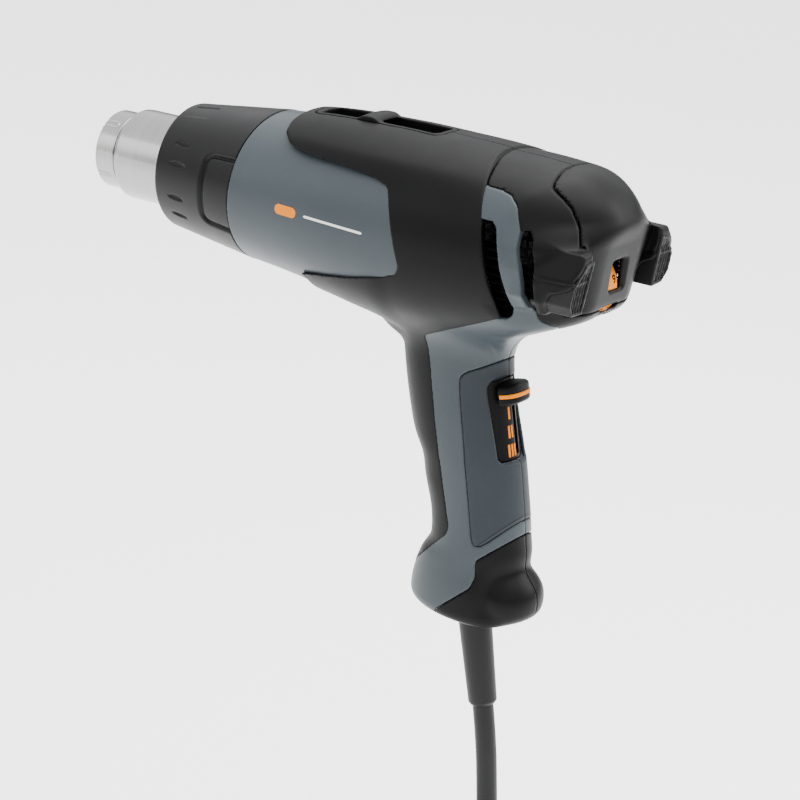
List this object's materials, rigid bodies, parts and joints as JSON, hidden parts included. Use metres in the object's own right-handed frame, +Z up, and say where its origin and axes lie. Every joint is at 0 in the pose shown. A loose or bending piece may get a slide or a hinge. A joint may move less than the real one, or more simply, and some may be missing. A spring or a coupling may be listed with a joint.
{
  "type": "heat gun",
  "caption": "Pistol-grip hot air gun with a steel outlet, pull-off heat shield, three-stage slide switch, temperature wheel, rear stand feet and a coiled mains cord with plug.",
  "frame": {"origin": "middle of the hand grip, on the gun's mid-plane", "axes": "+Z up with the handle hanging down; -X the way the hot air leaves; -Y the gun's left-hand side"},
  "size_m": [0.2569, 0.0832, 0.4827],
  "materials": {
    "housing_plastic": "satin blue-grey moulded plastic with a fine spark texture",
    "soft_grip": "matt black soft-touch overmoulding",
    "black_plastic": "matt black moulded plastic",
    "grip_plastic": "darker grey finely textured grip panel",
    "sleeve_plastic": "satin black heat-resistant plastic",
    "stainless_steel": "brushed around the tube",
    "mica": "pale mica sheet",
    "ceramic": "unglazed ceramic",
    "heating_wire": "oxidised resistance wire",
    "zinc_steel": "zinc-plated steel",
    "bronze": "sintered bronze",
    "copper": "copper segments",
    "ferrite": "ferrite",
    "rubber": "matt black rubber",
    "orange_plastic": "satin orange plastic",
    "circuit_board": "green solder mask",
    "aluminium": "extruded aluminium",
    "white_plastic": "white plastic",
    "wire_insulation": "coloured wire insulation",
    "nickel_pins": "nickel-plated brass"
  },
  "bodies": {
    "root": {"housing_left": "housing_plastic", "housing_right": "housing_plastic", "overmold_left": "soft_grip", "overmold_right": "soft_grip", "rear_shroud_left": "black_plastic", "rear_shroud_right": "black_plastic", "grip_pad_left": "grip_plastic", "grip_pad_right": "grip_plastic", "heel_cover_left": "soft_grip", "heel_cover_right": "soft_grip", "intake_mesh_left": "black_plastic", "intake_mesh_right": "black_plastic", "rear_cap": "black_plastic", "outlet_nozzle": "stainless_steel", "mica_tube": "mica", "heater_core": "ceramic", "heating_coil": "heating_wire", "thermocouple": "heating_wire", "heater_holder": "ceramic", "air_guide": "black_plastic", "motor_can": "zinc_steel", "front_bearing": "bronze", "rear_bearing": "bronze", "motor_magnets": "ferrite", "motor_mount": "rubber", "motor_brushes": "black_plastic", "wheel_bracket": "black_plastic", "potentiometer": "black_plastic", "control_board": "circuit_board", "suppression_capacitor": "housing_plastic", "triac_heat_sink": "aluminium", "rear_foot_left": "rubber", "rear_foot_right": "rubber", "hanging_eye": "black_plastic", "switch_plate": "black_plastic", "switch_block": "black_plastic", "strain_relief": "rubber", "inner_cord_end": "rubber", "cord_clamp": "black_plastic", "clamp_screws": "zinc_steel", "terminal_block": "white_plastic", "inner_wires": "wire_insulation", "mains_cord": "rubber", "cord_coil": "rubber", "cord_tail": "rubber", "plug_body": "rubber", "plug_pins": "nickel_pins", "cord_tie": "black_plastic", "housing_screws": "zinc_steel"},
    "sleeve": {"protective_sleeve": "sleeve_plastic"},
    "switch": {"switch_knob": "soft_grip", "switch_band": "orange_plastic"},
    "wheel": {"temperature_wheel": "orange_plastic", "wheel_shaft": "black_plastic"},
    "rotor": {"fan_impeller": "black_plastic", "motor_shaft": "zinc_steel", "motor_armature": "zinc_steel", "commutator": "copper"}
  },
  "joints": [
    {"name": "sleeve_pull_off", "type": "slide", "parent": "root", "child": "sleeve", "axis": [-1, 0, 0], "range_m": [0, 0.095]},
    {"name": "switch_slide", "type": "slide", "parent": "root", "child": "switch", "axis": [0.2019, 0, -0.9794], "range_m": [0, 0.0234]},
    {"name": "temperature_turn", "type": "hinge", "parent": "root", "child": "wheel", "pos_m": [0.0396, 0, 0.0894], "axis": [0, 1, 0], "range_deg": [0, 240]},
    {"name": "fan_spin", "type": "hinge", "parent": "root", "child": "rotor", "pos_m": [-0.039, 0, 0.1], "axis": [1, 0, 0], "continuous": true}
  ]
}
